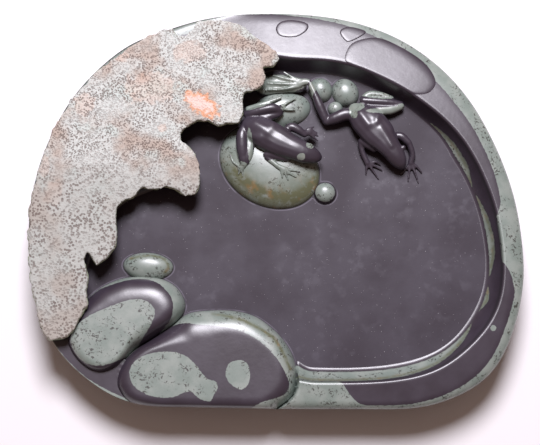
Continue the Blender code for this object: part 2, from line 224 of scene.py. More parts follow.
def polished(places):
    edge = places.mark("green") + (places.grain(1.6, 2) - 0.5) * 0.9
    green = edge.ramp(-0.12, 0.12)
    plum = mix(places, PLUM_DARK, PLUM_LIGHT, places.grain(14, 4).ramp(0.3, 0.7))
    stone = mix(places, plum, green_layer(places), green)
    vein = places.mark("ochre") * places.grain(3.5, 3).ramp(0.10, 0.60)
    stone = mix(places, stone, mix(places, OLIVE, RUST, places.grain(6, 2).ramp(0.53, 0.72)), vein * green)
    # Grooves, creases and stone feet are painted dark here: painted shade, with some old ink.
    groove = places.mark("groove")
    stone = mix(places, stone, INK_AND_SHADE, groove * 0.85)
    worn = places.grain(5, 3) * 0.5 + places.grain(0.6, 2) * 0.5
    return {
        "Base Color": stone,
        "Roughness": 0.29 + worn * 0.10 + groove * 0.20,
        "Specular IOR Level": 0.8,
        "Normal": relief(places, places.grain(2.5, 4) + places.grain(0.5, 2) * 0.12, 0.030),
    }


polished_stone = finish("polished_stone", polished)

# %% [markdown]
# # The grinding floor
# The floor of the well is rubbed with ink and water for years, so it is matt where the rim shines. Its plum
# is cloudy, with faint lighter rubs and a few bright grains of mica. Right at the foot of every boulder the
# floor is darkened as painted shade, and a pale line runs just outside it: the mesh stores the distance to the nearest
# foot for both.

# %% Grinding floor
FLOOR_DARK = (0.027, 0.018, 0.028, 1)
FLOOR_LIGHT = (0.046, 0.037, 0.052, 1)


def ground(places):
    cloud = places.grain(26, 4).ramp(0.32, 0.68)
    fleck = places.grain(1.1, 2)
    stone = mix(places, FLOOR_DARK, FLOOR_LIGHT, cloud * 0.75 + fleck * 0.25)
    rub = places.grain(6, 3).ramp(0.50, 0.72) * places.grain(30, 2).ramp(0.46, 0.66)
    stone = mix(places, stone, (0.12, 0.11, 0.14, 1), rub * 0.20)
    mica = places.grain(0.5, 0).ramp(0.845, 0.865)
    stone = mix(places, stone, (0.62, 0.60, 0.62, 1), mica * 0.8)
    foot = places.mark("foot")
    # A pale line just outside each boulder's foot.
    pale_foot_line = foot.ramp(0.25, 0.55) * foot.ramp(1.15, 0.75) * places.grain(8, 2).ramp(0.35, 0.60)
    stone = mix(places, stone, (0.22, 0.20, 0.25, 1), pale_foot_line * 0.40)
    # Painted shade: the floor is darkened right at the foot of each boulder.
    stone = mix(places, stone, INK_AND_SHADE, foot.ramp(0.40, 0.05) * 0.75)
    edge = places.mark("green") + (places.grain(1.6, 2) - 0.5) * 0.9
    stone = mix(places, stone, green_layer(places), edge.ramp(-0.12, 0.12))
    return {
        "Base Color": stone,
        "Roughness": 0.58 - cloud * 0.06 - rub * 0.10,
        "Specular IOR Level": 0.35,
        "Normal": relief(places, places.grain(7, 5) + places.grain(0.5, 2) * 0.10, 0.045),
    }


grinding_floor = finish("grinding_floor", ground)

# %% [markdown]
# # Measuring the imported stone
# The looks have to lie where the CAD bodies lie. The slab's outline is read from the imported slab's points, and
# the well's wall is found with rays cast outwards from the middle at two heights. Both come back as a radius
# for each of 720 directions, smoothed a little, because the CAD's outline has flat sides.

# %% Outline of the slab and of the well
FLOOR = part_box("base_slab")[1].z / MM
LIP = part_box("rim_wall")[1].z / MM
GIRTH = FLOOR + 6.3
TURN = np.radians(np.arange(0, 360, 0.5))
ROUND = np.stack([np.cos(TURN), np.sin(TURN)], 1)


def by_angle(angles, values, turn=TURN):
    """Values given at some angles, read at other angles round the closed loop."""
    order = np.argsort(np.mod(angles, 2 * math.pi))
    return np.interp(turn, np.mod(angles, 2 * math.pi)[order], np.asarray(values)[order], period=2 * math.pi)


def softened(values, spread):
    """A closed loop of values smoothed over about spread degrees."""
    steps = spread * len(values) / 360
    waves = np.arange(len(values) // 2 + 1) / len(values)
    return np.fft.irfft(np.fft.rfft(values) * np.exp(-2 * (math.pi * steps * waves) ** 2), len(values))


def points_of(node):
    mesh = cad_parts[node].data
    found = np.empty(len(mesh.vertices) * 3, np.float32)
    mesh.vertices.foreach_get("co", found)
    return found.reshape(-1, 3).astype(float) / MM


slab_top = points_of("base_slab")
slab_top = slab_top[slab_top[:, 2] > FLOOR - 0.1]
SIDE = softened(by_angle(np.arctan2(slab_top[:, 1], slab_top[:, 0]), np.hypot(*slab_top[:, :2].T) + 0.9), 2)

view_graph = bpy.context.evaluated_depsgraph_get()
walls = [BVHTree.FromObject(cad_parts[node], view_graph) for node in ("rim_wall", "leaf_bank")]
WALL_CLEAR = 9.5  # a hit nearer the outside than this is not the well's wall
STRAIGHT_ON = 284  # below this direction the front wall runs straight on under the front boulder


def wall_at(height):
    """Radius of the well's wall at a height, in each direction; gaps at the boulders are bridged."""
    found = np.full(len(TURN), np.nan)
    for i, (x, y) in enumerate(ROUND):
        hits = [wall.ray_cast(Vector((0, 0, height * MM)), Vector((x, y, 0)))[3] for wall in walls]
        hits = [hit / MM for hit in hits if hit is not None]
        if hits and min(hits) < SIDE[i] - WALL_CLEAR:
            found[i] = min(hits)
    under_boulder = np.arange(2 * 248, 2 * STRAIGHT_ON)
    found[under_boulder] = found[2 * STRAIGHT_ON] * ROUND[2 * STRAIGHT_ON, 1] / ROUND[under_boulder, 1]
    good = ~np.isnan(found)
    return softened(by_angle(TURN[good], found[good]), 2.5)


FOOT = wall_at(FLOOR + 0.35)
EDGE = FOOT + (wall_at(FLOOR + 7.0) - FOOT) / 0.69
CORNER_IN = [(100, 0), (207, 0), (216, 8), (244, 8), (255, 0)]  # the low corner runs in under the boulders
EDGE = EDGE - softened(by_angle(*(np.radians(CORNER_IN).T[0], np.array(CORNER_IN).T[1])), 2)
FOOT = np.minimum(FOOT, EDGE - 3)
STEEP = [(0, 9), (12, 7), (25, 3.2), (40, 1.8), (130, 1.8), (160, 9), (240, 9)]
FLARE = np.exp(-(((np.degrees(TURN) - 277) / 3.0) ** 2))  # the wall turns in beside the front boulder
FOOT = FOOT - 4.0 * FLARE
EDGE = EDGE - 1.2 * FLARE
FOOT = np.maximum(FOOT, EDGE - softened(by_angle(*(np.radians(STEEP).T[0], np.array(STEEP).T[1])), 2))
print(f"slab {2 * SIDE.max():.1f} mm at most, well wall {FOOT.min():.1f} to {FOOT.max():.1f} mm from the middle")

# %% [markdown]
# # Heights over the plan
# Everything carved here is a relief: over each point of the plan there is one height. So each body can be a
# function of x and y. The rim's says how the outer shoulder rounds up to a top that leans outwards a little,
# how the inner edge is rounded, and how the wall runs down into the floor in one hollow curve. A boulder's
# function rises steeply from its foot and flattens towards its top. Functions are easy to combine: a boulder
# at the slab's edge takes the lower of its own height and the rounded side of the slab.

# %% The rim as a height
SHOULDER = [(0, 8), (10, 6.5), (20, 7), (30, 9), (45, 8), (60, 6), (72, 4.5), (100, 4), (120, 2.5), (180, 1.6),
            (225, 9), (250, 2), (300, 2), (310, 3), (320, 4.4), (330, 5), (345, 6.5), (353, 9)]  # fmt: skip
# How much the rim's top falls towards the outside; the back faces the light.
TOP_LEAN = [(0, 0.08), (40, 0.11), (62, 0.15), (90, 0.155), (110, 0.15), (150, 0.12), (200, 0.1), (300, 0.08)]
HOLLOW = 2.2  # how far the wall's hollow foot reaches over the floor
EDGE_ROUND = 1.5


def listed(pairs):
    """A list of (degrees, value) as a smooth loop."""
    degrees, values = np.array(pairs, float).T
    return softened(by_angle(np.radians(degrees), values), 1.5)


BAND = listed(SHOULDER)
LEAN = listed(TOP_LEAN)
LOW_CORNER = listed([(100, 0), (204, 0), (213, 1), (248, 1), (258, 0)])  # the rim is low round the boulders


def side_inset(height):
    """How far the outer side has drawn in from its widest level at a lower height."""
    return 8.5 * np.clip(1 - height / GIRTH, 0, 1) ** 1.57


def polar(points):
    return np.mod(np.arctan2(points[..., 1], points[..., 0]), 2 * math.pi), np.hypot(points[..., 0], points[..., 1])


def at(loop, turn):
    return np.interp(turn, TURN, loop, period=2 * math.pi)


def rim_height(points):
    turn, reach = polar(points)
    side, foot, edge = at(SIDE, turn), at(FOOT, turn) - HOLLOW, at(EDGE, turn)
    shoulder = at(BAND, turn) + 2.5
    over = np.clip((side - reach) / shoulder, 0, 1)
    beyond = reach - edge
    top = LIP - at(LEAN, turn) * np.clip(beyond - EDGE_ROUND, 0, None)
    height = GIRTH + (top - GIRTH) * (1 - (1 - over) ** 2.2) ** (1 / 2.2)
    tuck = np.clip(1 - beyond / EDGE_ROUND, 0, 1)
    height = height - 1.3 * (1 - np.sqrt(1 - 0.98 * tuck**2))
    up = np.clip((reach - foot) / (edge - foot), 0, 1)
    height = np.where(beyond < 0, FLOOR + (LIP - 1.12 - FLOOR) * up**1.75, height)
    low = at(LOW_CORNER, turn)
    return height * (1 - low) + np.minimum(height, GIRTH + 0.5) * low


# %% Boulders and pebbles as heights
SINK = 1.2  # each boulder's foot lies this far under the floor, so that it meets the floor steeply


class Boulder:
    """A rounded stone on the floor, as a height over the plan."""

    def __init__(self, centre, radius, top, roll=None, curve=(2.4, 2.0)):
        self.centre = np.array(centre, float)
        self.radius = radius
        self.top = top
        self.roll = radius if roll is None else np.minimum(roll, radius)
        self.curve = curve

    def inward(self, points):
        """How far inside the foot a point lies, as a share of the way to where the top is level."""
        turn, reach = polar(points[..., :2] - self.centre)
        return (at(self.radius, turn) - reach) / at(self.roll, turn)

    def height(self, points):
        share = np.clip(self.inward(points), 0, 1)
        rise = (1 - (1 - share) ** self.curve[0]) ** (1 / self.curve[1])
        return FLOOR - SINK + (self.top - FLOOR + SINK) * rise


def oval_radius(half, turn):
    spin = TURN - math.radians(turn)
    return 1 / np.sqrt((np.cos(spin) / half[0]) ** 2 + (np.sin(spin) / half[1]) ** 2)


def oval_stone(node, half, turn, **shape):
    """An oval stone that touches the right and back faces of its CAD body's box."""
    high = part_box(node)[1] / MM
    spin = math.radians(turn)
    reach_x = math.hypot(half[0] * math.cos(spin), half[1] * math.sin(spin))
    reach_y = math.hypot(half[0] * math.sin(spin), half[1] * math.cos(spin))
    return Boulder((high.x - reach_x, high.y - reach_y), oval_radius(half, turn), high.z, **shape)


def curve_through(points, per_span=8, closed=True):
    """A smooth Catmull-Rom curve through points of any dimension."""
    knots = np.array(points, float)
    if closed:
        knots = np.concatenate([knots[-1:], knots, knots[:2]])
    else:
        knots = np.concatenate([2 * knots[:1] - knots[1:2], knots, 2 * knots[-1:] - knots[-2:-1]])
    made = []
    for a, b, c, d in zip(knots, knots[1:], knots[2:], knots[3:]):
        for t in np.arange(per_span) / per_span:
            made.append(0.5 * (2 * b + (c - a) * t + (2 * a - 5 * b + 4 * c - d) * t**2
                               + (3 * b - a - 3 * c + d) * t**3))  # fmt: skip
    if not closed:
        made.append(knots[-2])
    return np.array(made)


def drawn_stone(node, outline, rolls, **shape):
    """A stone with a drawn foot, given about the middle of its CAD body's box."""
    low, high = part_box(node)
    middle = np.array([(low.x + high.x) / 2 / MM, (low.y + high.y) / 2 / MM])
    foot = curve_through(outline)
    turn, reach = polar(foot)
    return Boulder(middle, by_angle(turn, reach), high.z / MM, roll=softened(listed(rolls), 9), **shape)


CORNER_FOOT = [(31, 8), (29.5, 14), (24.6, 20), (15.8, 23.7), (2.1, 24.1), (-7.6, 21.5), (-17.1, 15.6),
               (-26, 4.5), (-30, -9), (-28.8, -14.6), (-25, -20.3), (-19.2, -25.1), (-12.5, -27.2), (-5, -25),
               (0.5, -20), (5.1, -14.3), (12.7, -9.5), (24.1, -1.7), (28.7, 2.9)]  # fmt: skip
FRONT_FOOT = [(47.6, -7.1), (46.2, 1.6), (42.4, 9.3), (35.6, 17), (25.9, 23.8), (14.3, 26.7), (-0.3, 26.7),
              (-9.9, 24.8), (-17.4, 18.7), (-28.8, 10.9), (-36.4, 6.1), (-42.1, 0.4), (-45.7, -8.2),
              (-44.6, -15.8), (-35, -23.5), (0, -34), (30, -29), (38, -24), (43.5, -20), (46.8, -15)]  # fmt: skip
boulders = {
    "corner_boulder": drawn_stone("corner_boulder", CORNER_FOOT,
                                  [(0, 11), (40, 17), (90, 15), (150, 13), (190, 7), (240, 6), (300, 6.5)],
                                  curve=(2.2, 2.0)),
    "front_boulder": drawn_stone("front_boulder", FRONT_FOOT,
                                 [(0, 11), (45, 16), (90, 16.5), (130, 14.5), (160, 11), (220, 6.5), (300, 9)],
                                 curve=(2.2, 2.0)),
    "oval_pebble": oval_stone("oval_pebble", (13.4, 7.4), -4),
    "frog_boulder": oval_stone("frog_boulder", (28.3, 22), -30, curve=(2.2, 2.0)),
    "back_boulder": oval_stone("back_boulder", (15.9, 10.3), 8, curve=(2.3, 2.0)),
    "pearl_pebble": oval_stone("pearl_pebble", (6.1, 6.1), 0),
    "back_pebble_left": oval_stone("back_pebble_left", (6.4, 7.0), 20),
    "back_pebble_right": oval_stone("back_pebble_right", (7.2, 8.2), 25),
    "back_pebble_small": oval_stone("back_pebble_small", (4.2, 4.2), 0),
}  # fmt: skip
for node, stone in boulders.items():
    print(node, "stands at", stone.centre.round(1), "and is", round(stone.top - FLOOR, 1), "mm high")

# %% [markdown]
# # Marks on the stone
# Outlines of the green islands and the plum caps are drawn as short lists of points, and turned into
# a distance: positive inside, negative outside. Distances combine with minimum and maximum, so a green band
# with a plum cap on it is one short line of arithmetic.

# %% Distances on the plan
def inside_by(points, outline):
    """How far each point lies inside a closed outline, in millimetres; negative outside."""
    nearest = np.full(len(points), 1e9)
    within = np.zeros(len(points), bool)
    for (ax, ay), (bx, by) in zip(outline, np.roll(outline, -1, 0)):
        dx, dy = bx - ax, by - ay
        px, py = points[:, 0] - ax, points[:, 1] - ay
        along = np.clip((px * dx + py * dy) / max(dx * dx + dy * dy, 1e-9), 0, 1)
        nearest = np.minimum(nearest, (px - along * dx) ** 2 + (py - along * dy) ** 2)
        if dy:
            within ^= ((py < 0) != (points[:, 1] < by)) & (px < dx * py / dy)
    return np.where(within, 1, -1) * np.sqrt(nearest)


def near_line(points, line):
    """Distance of each point from an open line, in as many dimensions as the line has."""
    line = np.array(line, float)
    points = points[:, : line.shape[1]]
    nearest = np.full(len(points), 1e9)
    for a, b in zip(line, line[1:]):
        run = b - a
        along = np.clip(((points - a) @ run) / max(run @ run, 1e-9), 0, 1)
        nearest = np.minimum(nearest, ((points - a - along[:, None] * run) ** 2).sum(1))
    return np.sqrt(nearest)


def patch(points, x, y, half_x, half_y, turn=0):
    """Distance inside an oval patch of the plan."""
    spin = math.radians(turn)
    px, py = points[:, 0] - x, points[:, 1] - y
    u = (px * math.cos(spin) + py * math.sin(spin)) / half_x
    v = (py * math.cos(spin) - px * math.sin(spin)) / half_y
    return (1 - np.hypot(u, v)) * min(half_x, half_y)


# %% Making a piece
def piece(name, points, faces, material, marks, node):
    """A closed mesh, given in millimetres, that stands for a CAD node and takes the given material."""
    mesh = bpy.data.meshes.new(name)
    mesh.from_pydata((points * MM).tolist(), [], faces)
    made = bpy.data.objects.new(name, mesh)
    bpy.context.scene.collection.objects.link(made)
    shaped = bmesh.new()
    shaped.from_mesh(mesh)
    bmesh.ops.recalc_face_normals(shaped, faces=shaped.faces)
    shaped.to_mesh(mesh)
    shaped.free()
    return settle(made, material, marks, node)


def settle(made, material, marks, node):
    """The last steps for every piece: its stored marks, shading, finish and place on the CAD body."""
    mesh = made.data
    for mark, values in marks.items():
        stored = mesh.attributes.new(mark, "FLOAT", "POINT")
        stored.data.foreach_set("value", np.asarray(values, np.float32))
    mesh.shade_smooth()
    mesh.set_sharp_from_angle(angle=math.radians(50))
    mesh.materials.clear()
    mesh.materials.append(material)
    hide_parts(node)
    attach(made, "root")
    print(f"{made.name}: {len(mesh.polygons)} faces")
    return made


def net(rings, closed_up=False):
    """Faces of a closed shape made of rings of points, each ring closed; the two ends are capped."""
    levels, around = rings.shape[:2]
    index = np.arange(levels * around).reshape(levels, around)
    upper = np.roll(index, -1, 0) if closed_up else index[1:]
    lower = index if closed_up else index[:-1]
    quads = np.stack([lower, np.roll(lower, -1, 1), np.roll(upper, -1, 1), upper], -1).reshape(-1, 4).tolist()
    if not closed_up:
        quads += [index[0][::-1].tolist(), index[-1].tolist()]
    return quads

# %% [markdown]
# # The slab
# The slab draws in towards its flat underside, with a worn lower edge, and its top is the grinding floor. It is
# lofted: rings of points run up the side and then inwards over the floor. The floor's rings are close together,
# because they carry the stored distance to the foot of the nearest stone.

# %% Slab
def ring(reach, height, turn=ROUND):
    return np.concatenate([reach[:, None] * turn, np.full((len(turn), 1), height)], 1)


LOWER_EDGE = [(0.0, 1.7), (0.2, 0.9), (0.6, 0.35), (1.3, 0.0)]
FLOOR_RINGS = 60


def slab_rings():
    side, foot, turn = SIDE[::2], FOOT[::2] - 2.0, ROUND[::2]
    rings = [ring(side - side_inset(z) - worn, z, turn) for z, worn in LOWER_EDGE]
    rings += [ring(side - side_inset(z), z, turn) for z in np.linspace(3, FLOOR, 9)]
    rings += [ring(foot * (1 - share**1.1), FLOOR, turn) for share in np.linspace(0, 0.998, FLOOR_RINGS)]
    return np.array(rings)


def foot_distance(points):
    """Distance outwards from the nearest boulder's foot, negative under the boulder."""
    gaps = []
    for stone in boulders.values():
        turn, reach = polar(points[:, :2] - stone.centre)
        gaps.append(reach - at(stone.radius, turn) + 0.15)
    return np.min(gaps, 0)


rings = slab_rings()
points = rings.reshape(-1, 3)
outer = points[:, 2] < FLOOR - 0.01
marks = {"foot": np.where(outer, 9, foot_distance(points)), "green": np.where(outer, points[:, 2] - 13.5, -6)}
piece("slab", points, net(rings), grinding_floor, marks, "base_slab")

# %% [markdown]
# # The rim and the bank under the leaf
# The rim is one band round the well. Rings follow the inner wall, the rounded inner edge, the top, the
# shoulder and the outer side, closer together where the surface turns quickly. Where a boulder grows out of
# the rim, the rim's points are pushed under the boulder's surface, so the two meet in a clean line. The band
# is made in two lengths, as the CAD model has it.

# %% Rim and bank
def under_side(points):
    """Height of the slab's rounded outer side carried up past the rim."""
    turn, reach = polar(points)
    over = np.clip((at(SIDE, turn) - reach) / 5.5, 0, 1)
    return GIRTH + 8.5 * (1 - (1 - over) ** 2.2) ** (1 / 2.2)


def trimmed(stone, points):
    """A boulder's height where the slab's outer side cuts it, with the two surfaces blended."""
    base = FLOOR - SINK
    own = np.maximum(stone.height(points) - base, 1e-3)
    cut = np.maximum(under_side(points) - base, 1e-3)
    return base + (own**-5 + cut**-5) ** -0.2


GROOVE_WIDE = 1.3  # how far outside a boulder the rim starts to dip towards its foot
BELOW_GIRTH = [(-1.6, 0.0), (-3.4, 0.0), (-5.2, 0.0), (-6.6, 0.15)]


def rim_rings():
    foot = FOOT - HOLLOW
    top_start, top_end = EDGE + EDGE_ROUND, np.maximum(SIDE - BAND - 2.5, EDGE + EDGE_ROUND + 0.6)
    reaches = [foot + (EDGE - foot) * share for share in np.linspace(0, 1, 20)]
    reaches += [EDGE + EDGE_ROUND * share for share in (0.12, 0.3, 0.6)]
    reaches += [top_start + (top_end - top_start) * share for share in np.linspace(0, 1, 11)]
    reaches += [SIDE - (SIDE - top_end) * (1 - math.sin(share)) for share in np.linspace(0.12, math.pi / 2, 13)]
    rings = [ring(foot - 0.1, FLOOR - 0.3)]
    for reach in reaches:
        made = ring(reach, 0.0)
        made[:, 2] = rim_height(made[:, :2])
        rings.append(made)
    rings += [ring(SIDE - side_inset(GIRTH + drop) - tuck, GIRTH + drop) for drop, tuck in BELOW_GIRTH]
    rings = np.array(rings)
    for node in ("corner_boulder", "front_boulder"):
        stone = boulders[node]
        outside = -stone.inward(rings[..., :2]) * at(stone.roll, polar(rings[..., :2] - stone.centre)[0])
        outside = outside + 2.2 * at(LOW_CORNER, polar(rings[..., :2])[0])
        dip = np.clip(1 - outside / GROOVE_WIDE, 0, 1) ** 2
        lowered = np.minimum(rings[..., 2], trimmed(stone, rings[..., :2]) - 0.6)
        rings[..., 2] += (lowered - rings[..., 2]) * dip
    return rings


# Width of the green band outside the plum of the rim, and how far the green lenses reach up the inner wall.
GREEN_BAND = [(0.7, 8.4), (8, 7.2), (20, 7.2), (30, 8.4), (42, 8.2), (50, 6.6), (60, 4.6), (72, 2.8), (80, 1.8),
              (90, 0.6), (100, 0.4), (223, 0.3), (228, 1.3), (234, 1.3), (238, 0.3), (262, 0.3), (270, 22),
              (289.2, 22), (290.2, 12), (291.4, 3), (294, 1.8), (300, 2.0), (310, 3), (320, 4.4), (330, 5),
              (339.3, 4.3), (343.3, 7.6), (346.2, 13), (348, 22), (353, 22), (356.3, 12.5)]  # fmt: skip
LENSES = [(-115, 0.92), (-75, 0.95), (-60, 0.93), (-45, 0.80), (-37, 0.60), (-34, 0.46), (-31, 0.30),
          (-28.5, 0.1), (-27.3, 0.3), (-24, 0.55), (-20.3, 0.3), (-19.3, 0.1), (-18.4, 0.3), (-13, 0.62),
          (-8, 0.68), (-2, 0.56), (4, 0.3), (5, 0.1), (6.3, 0.3), (12, 0.60), (20, 0.62), (29, 0.30),
          (31, 0.1), (230, 0.1)]  # fmt: skip
LENS_FOOT = 0.26
RIM_DOT = (112.0, -65.2)


def rim_marks(points):
    turn, reach = polar(points[:, :2])
    side, foot, edge = at(SIDE, turn), at(FOOT, turn) - HOLLOW, at(EDGE, turn)
    band = at(softened(by_angle(np.radians([a for a, _ in GREEN_BAND]), [w for _, w in GREEN_BAND]), 0.8), turn)
    lens = at(softened(by_angle(np.radians([a for a, _ in LENSES]), [w for _, w in LENSES]), 0.5), turn)
    width = edge - foot
    up = (reach - foot) / width
    on_wall = np.minimum(up - LENS_FOOT, lens - up) * width
    from_side = np.where(points[:, 2] < GIRTH, 0, side - reach)
    on_top = np.maximum(band - from_side, patch(points, *RIM_DOT, 1.6, 1.6))
    bent = np.degrees(turn)
    # Painted shade, with some ink: a dark line along the inner edge, and dark outlines round the green lenses where the
    # overhang shades them.
    crease_shade_turns = np.clip(np.minimum((bent - 235) / 10, 1), 0, 1) + (bent < 30) * np.clip((35 - bent) / 20, 0, 1)
    crease = np.exp(-(((reach - edge + 0.25) / 0.5) ** 2)) * crease_shade_turns
    outline = np.exp(-((on_wall / 0.3) ** 2)) * (reach < edge) * (on_wall > -1) * 0.6 * crease_shade_turns
    olive = np.exp(-(((up - lens + 0.1) * width / 0.9) ** 2)) * (reach < edge) * 0.8
    # Painted shade: the narrow gap between the two boulders is given plum and the dark groove colour, so its lit edge
    # does not show.
    gap_shade = at(LOW_CORNER, turn) * (reach < edge + 1.5)  # the narrow gap between the two boulders stays dark
    return {"green": np.where(reach < edge, on_wall, on_top) - 9 * gap_shade,
            "groove": np.maximum(np.maximum(crease * 0.85, outline), gap_shade), "ochre": olive}  # fmt: skip


band_rings = rim_rings()
part_turns = (101.0, 248.0)  # the bank lies between these directions, the rim over the rest
first, last = (int(2 * turn) for turn in part_turns)
for name, node, picks in (("rim", "rim_wall", np.arange(last, last + 720 - (last - first) + 1) % 720),
                          ("bank_under_leaf", "leaf_bank", np.arange(first, last + 1))):  # fmt: skip
    lengths = np.transpose(band_rings[:, picks], (1, 0, 2))
    points = lengths.reshape(-1, 3)
    piece(name, points, net(lengths), polished_stone, rim_marks(points), node)

# %% [markdown]
# # Boulders and pebbles
# Each stone is a net of rings from its top to its foot. At the slab's edge the rings stop at the outer side and
# then follow it down, so a boulder there has the same clean flank as the slab.

# %% Boulders and pebbles
def boulder_rings(stone, around, levels):
    turn = np.arange(around) * 2 * math.pi / around
    aim = np.stack([np.cos(turn), np.sin(turn)], 1)
    reach = at(stone.radius, turn)
    steps = np.linspace(0, 1, 401)
    tried = stone.centre + (reach[:, None] * steps)[..., None] * aim[:, None]
    bearing, far = polar(tried)
    clear = far < at(SIDE, bearing) - 0.02
    free = np.where(clear.all(1), 400, np.argmin(clear, 1) - 1)
    stop = reach * steps[free]
    cut = free < 400
    rings = []
    for share in np.linspace(0.004, 1, levels):
        made = np.zeros((around, 3))
        made[:, :2] = stone.centre + (stop * math.sin(share * math.pi / 2))[:, None] * aim
        made[:, 2] = trimmed(stone, made[:, :2])
        rings.append(made)
    last = rings[-1]
    bearing, far = polar(last[:, :2])
    for drop, tuck in BELOW_GIRTH:
        height = np.where(cut, GIRTH + drop, FLOOR - SINK + drop * 0.05)
        pulled = np.where(cut, at(SIDE, bearing) - side_inset(height) - tuck, far)
        rings.append(np.concatenate([last[:, :2] * (pulled / far)[:, None], height[:, None]], 1))
    return np.array(rings)


CORNER_PLUM = [(-34, -9), (-18.3, 13.2), (-6.8, 19.1), (4.7, 22), (14.4, 21), (21.2, 16.1), (25.1, 9.3),
               (24.3, 1.6), (20.5, -3.2), (12, -12), (4, -20), (-4, -30), (-17, -32), (-32, -24)]  # fmt: skip
CORNER_ISLAND = [(-27.2, -10.6), (-25.5, -4.9), (-20, 0.9), (-10.6, 5.6), (-1.1, 9.3), (6.5, 10.9), (12.2, 9.5),
                 (15.8, 5.6), (15.4, 0.9), (12.5, -4.9), (7.9, -11.5), (1.4, -18.2), (-5.2, -21.9),
                 (-11.8, -23.4), (-19.4, -21.9), (-25.2, -16.3)]  # fmt: skip
FRONT_PLUM = [(-50, -16), (-37.9, 3.7), (-17, 18.1), (-1.8, 18.1), (13.5, 16.2), (26, 11.4), (36.5, 1.8),
              (42.2, -7.7), (43.6, -13.4), (40.3, -18.1), (29, -21.8), (18, -28), (0, -36), (-40, -34)]  # fmt: skip
FRONT_ISLAND = [(-38, -6.2), (-35.3, -0.6), (-27.9, 3.2), (-18.4, 4.3), (-10.8, 2.7), (-5, -1.5), (1.2, -9.2),
                (5.9, -10.9), (7.4, -13.8), (5.5, -17.5), (3.2, -21), (-2, -19.8), (-6, -16.5), (-10, -16.6),
                (-15.2, -18.9), (-21.7, -19.2), (-29.3, -17.5), (-36, -12.8)]  # fmt: skip
FRONT_SPOT = [(11.1, -6.7), (12.9, -2), (17.7, -0.1), (21.9, -1.5), (23.6, -6.7), (22.9, -11.9), (19.6, -15.3),
              (15.8, -13.8), (12.5, -10.9)]  # fmt: skip
FRONT_VEIN = [(3.8, 24.3), (12.5, 22.8), (21.2, 19.9), (28.9, 16.1), (35.7, 11.7), (40.4, 4.1), (44.3, -4.5)]
FROG_VEIN = [(-19, -4), (-11.2, -10.4), (-4, -15.0), (4, -17.2), (12.6, -17.2), (19.5, -14.4), (24, -9)]
OVAL_VEIN = [(-9, 3.6), (0, 5.2), (8, 3.8), (11, -0.5), (9, -3.8)]


def boulder_marks(node, stone, points):
    plan = points[:, :2] - stone.centre
    height = points[:, 2] - FLOOR
    green = np.full(len(points), 8.0)
    ochre = np.zeros(len(points))
    if node == "corner_boulder":
        island = inside_by(plan, curve_through(CORNER_ISLAND, 4))
        green = np.maximum(-inside_by(plan, curve_through(CORNER_PLUM, 4)), island)
    if node == "front_boulder":
        island = inside_by(plan, curve_through(FRONT_ISLAND, 4))
        spot = inside_by(plan, curve_through(FRONT_SPOT, 4))
        green = np.maximum(-inside_by(plan, curve_through(FRONT_PLUM, 4)), np.maximum(island, spot))
        ochre = np.exp(-((near_line(plan, FRONT_VEIN) / 1.0) ** 2)) * np.clip((plan[:, 0] + 4) / 20, 0.2, 1)
    if node == "frog_boulder":
        # The low front of the frog boulder turns olive: olive stone, darkened further as painted shade on the side away
        # from the light.
        low = np.clip(1.25 - height / 7.5, 0, 1) * np.clip((14 - plan[:, 1]) / 25, 0, 1)
        ochre = np.exp(-((near_line(plan, curve_through(FROG_VEIN, 4, closed=False)) / 2.6) ** 2)) * 0.8 + low * 0.9
    if node == "oval_pebble":
        ochre = np.exp(-((near_line(plan, curve_through(OVAL_VEIN, 4, closed=False)) / 0.8) ** 2))
    if node == "pearl_pebble":
        green = height - 2.2
    # Painted shade: dark at the foot, where the stone meets the floor.
    groove = np.exp(-np.clip(height, 0, None) / 0.35) * 0.9
    return {"green": green, "ochre": ochre, "groove": groove}


for node, stone in boulders.items():
    large = stone.radius.max() > 20
    rings = boulder_rings(stone, *((256, 50) if large else (110, 24)))
    points = rings.reshape(-1, 3)
    slot = "plum_stone" if node in ("corner_boulder", "front_boulder") else "green_stone"
    piece("carved_" + node, points, net(rings), polished_stone,
          boulder_marks(node, stone, points), node)  # fmt: skip

# %% [markdown]
# # Pebbles in the rim
# Three flat pebbles are left in very low relief on the back rim. Each is a patch that follows the rim's own
# height and stands a little above it, with its edge rounded down into a fine cut line.

# %% Rim pebbles
RIM_PEBBLES = {
    "rim_pebble_large": [(-25.8, 5.1), (-21, 13.4), (-8, 16.6), (4.8, 11.4), (17.6, 2.2), (23.4, -8.4),
                         (19.9, -15.2), (12.5, -16.6), (6.1, -15), (-6.6, -8.9), (-17.6, -2.4), (-24, 0.2)],
    "rim_pebble_middle": [(-7.4, 2.3), (-4.1, 5.4), (1.5, 5.2), (7, 2.3), (-1.6, -3.2), (-4.8, -2.4)],
    "rim_pebble_left": [(-9, 0.1), (-6.4, 4.3), (0.1, 5.6), (8.2, 3.5), (7.9, -0.8), (1.9, -4.7), (-6.4, -4.2)],
}  # fmt: skip
PROUD = 0.45


def pebble_plan(node):
    low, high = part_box(node)
    middle = np.array([(low.x + high.x) / 2 / MM, (low.y + high.y) / 2 / MM])
    turn, reach = polar(curve_through(RIM_PEBBLES[node]))
    return middle, by_angle(turn, reach)


def rim_pebble_rings(node, around=150, levels=22):
    middle, radius = pebble_plan(node)
    turn = np.arange(around) * 2 * math.pi / around
    aim = np.stack([np.cos(turn), np.sin(turn)], 1)
    rings = []
    for share in np.linspace(0.02, 1, levels):
        out = math.sin(share * math.pi / 2)
        plan = middle + (at(radius, turn) * out)[:, None] * aim
        height = rim_height(plan) + PROUD * (1 - out**7) ** 0.5 - 0.25 * out**30
        rings.append(np.concatenate([plan, height[:, None]], 1))
    rings.append(rings[-1] - [0, 0, 1.5])
    return np.array(rings), np.sin(np.append(np.linspace(0.02, 1, levels), 1) * math.pi / 2)


